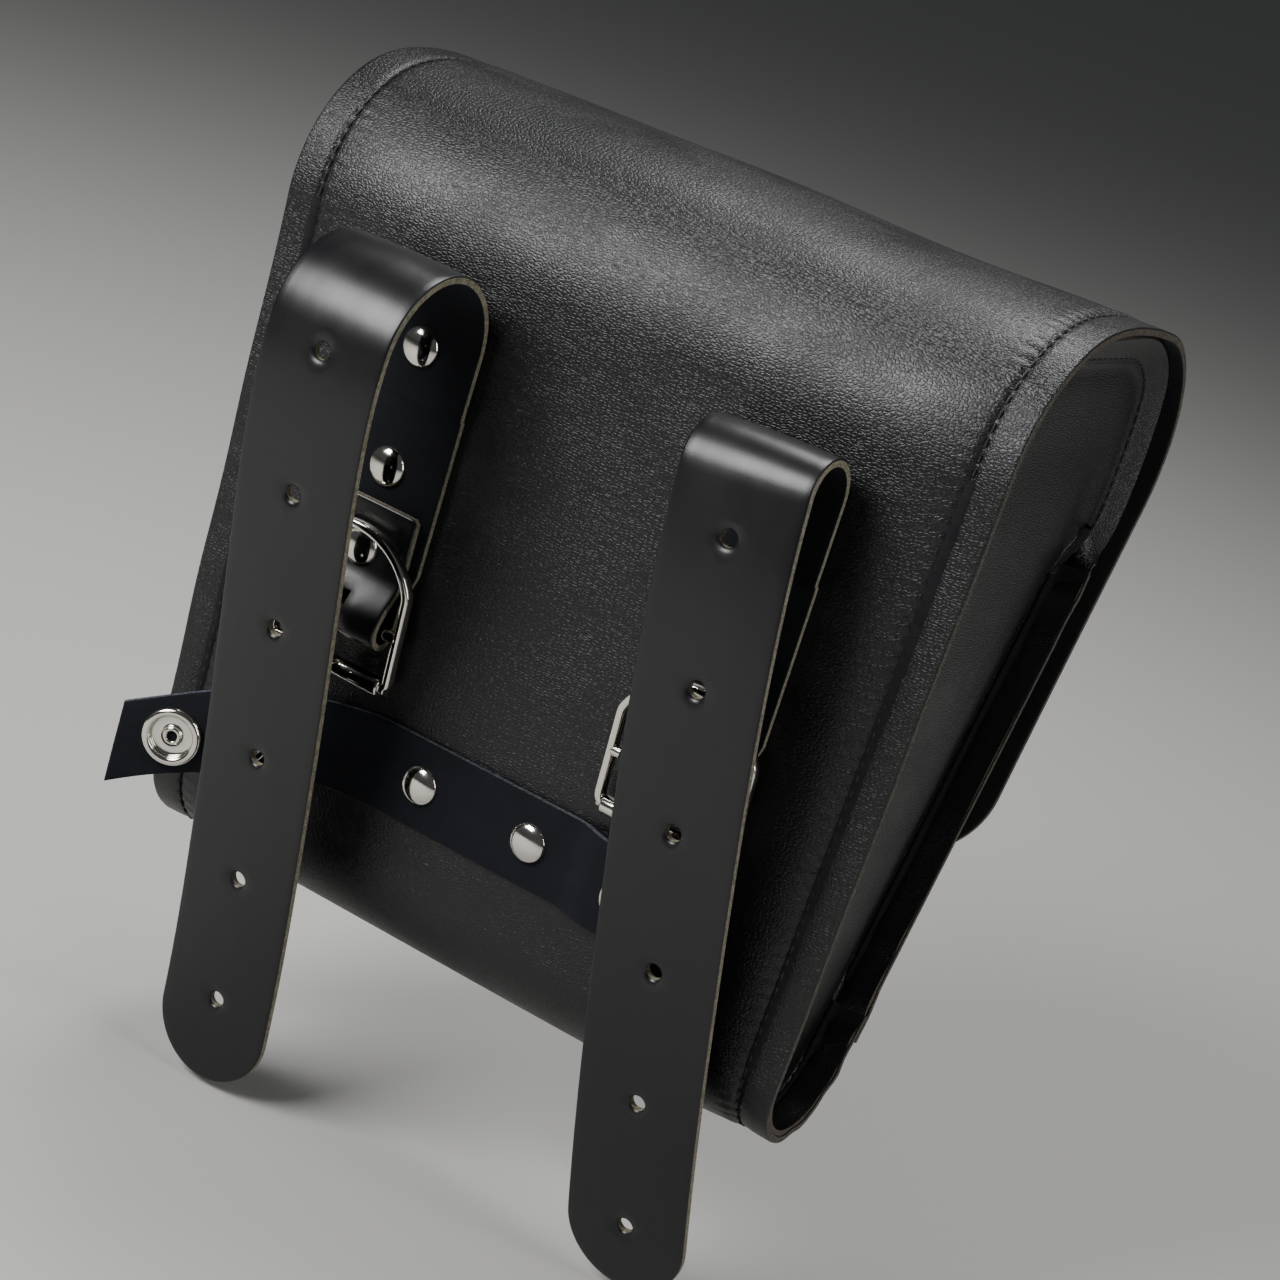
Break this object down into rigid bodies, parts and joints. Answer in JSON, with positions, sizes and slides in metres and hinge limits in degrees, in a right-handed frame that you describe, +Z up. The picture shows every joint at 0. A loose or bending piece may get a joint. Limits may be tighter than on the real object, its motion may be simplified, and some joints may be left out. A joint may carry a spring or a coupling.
{
  "type": "saddlebag",
  "caption": "Small wedge-shaped motorcycle saddlebag in black grained leatherette, with a roll-over lid, two buckled mounting straps and a snap band on its back.",
  "frame": {"origin": "centre of the back panel's outer face", "axes": "X across the bag, +Y from the back panel into the bag, +Z up; the back faces -Y"},
  "size_m": [0.195, 0.1464, 0.2513],
  "materials": {
    "grained_leather": "embossed grain, semi-gloss",
    "strap_leather": "smooth satin",
    "band_felt": "napped felt backing, matte",
    "chrome": "bright nickel plate",
    "stiffener_board": "hard fibre board"
  },
  "bodies": {
    "bag": {"back_panel": "grained_leather", "front_panel": "grained_leather", "left_gusset": "grained_leather", "right_gusset": "grained_leather", "back_board": "stiffener_board", "left_strap": "strap_leather", "right_strap": "strap_leather", "left_strap_rivets": "chrome", "right_strap_rivets": "chrome", "band_middle": "band_felt", "band_rivets": "chrome", "inner_rivet_caps": "chrome", "closure_studs": "chrome"},
    "lid": {"lid": "grained_leather", "left_closure_strap": "strap_leather", "right_closure_strap": "strap_leather", "closure_rivets": "chrome", "closure_rivet_backs": "chrome", "closure_sockets": "chrome", "closure_snap_caps": "chrome"},
    "left_tail": {"left_strap_tail": "strap_leather"},
    "right_tail": {"right_strap_tail": "strap_leather"},
    "left_buckle": {"left_buckle": "chrome"},
    "right_buckle": {"right_buckle": "chrome"},
    "left_roller": {"left_roller": "chrome"},
    "right_roller": {"right_roller": "chrome"},
    "left_prong": {"left_prong": "chrome"},
    "right_prong": {"right_prong": "chrome"},
    "band_left": {"band_left_end": "band_felt", "band_sockets": "chrome", "band_socket_caps": "chrome"},
    "band_right": {"band_right_end": "band_felt", "band_studs": "chrome", "band_stud_eyelets": "chrome"}
  },
  "joints": [
    {"name": "lid_fold", "type": "hinge", "parent": "bag", "child": "lid", "pos_m": [0, 0, 0.084], "axis": [1, 0, 0], "range_deg": [0, 85]},
    {"name": "left_tail_swing", "type": "hinge", "parent": "bag", "child": "left_tail", "pos_m": [-0.0485, -0.021, 0.086], "axis": [-1, 0, 0], "range_deg": [-3, 75], "stiffness_Nm_per_rad": 0.05},
    {"name": "left_buckle_rock", "type": "hinge", "parent": "bag", "child": "left_buckle", "pos_m": [-0.0485, -0.005, -0.004], "axis": [1, 0, 0], "range_deg": [-2, 4]},
    {"name": "left_prong_lift", "type": "hinge", "parent": "left_buckle", "child": "left_prong", "pos_m": [-0.0485, -0.005, -0.004], "axis": [-1, 0, 0], "range_deg": [0, 120]},
    {"name": "left_roller_spin", "type": "hinge", "parent": "left_buckle", "child": "left_roller", "pos_m": [-0.0485, -0.00382, -0.01745], "axis": [1, 0, 0], "continuous": true},
    {"name": "band_left_swing", "type": "hinge", "parent": "bag", "child": "band_left", "pos_m": [-0.024, -0.0009, -0.036], "axis": [0, 0, 1], "range_deg": [0, 6], "stiffness_Nm_per_rad": 0.03},
    {"name": "right_tail_swing", "type": "hinge", "parent": "bag", "child": "right_tail", "pos_m": [0.0485, -0.0115, 0.08], "axis": [-0.9945, 0, -0.1045], "range_deg": [0, 75], "stiffness_Nm_per_rad": 0.05},
    {"name": "right_buckle_rock", "type": "hinge", "parent": "bag", "child": "right_buckle", "pos_m": [0.0485, -0.005, -0.004], "axis": [1, 0, 0], "range_deg": [-2, 4]},
    {"name": "right_prong_lift", "type": "hinge", "parent": "right_buckle", "child": "right_prong", "pos_m": [0.0485, -0.005, -0.004], "axis": [-1, 0, 0], "range_deg": [0, 28]},
    {"name": "right_roller_spin", "type": "hinge", "parent": "right_buckle", "child": "right_roller", "pos_m": [0.0485, -0.00382, -0.01745], "axis": [1, 0, 0], "continuous": true},
    {"name": "band_right_swing", "type": "hinge", "parent": "bag", "child": "band_right", "pos_m": [0.024, -0.0009, -0.036], "axis": [0, 0, -1], "range_deg": [0, 2], "stiffness_Nm_per_rad": 0.03}
  ]
}
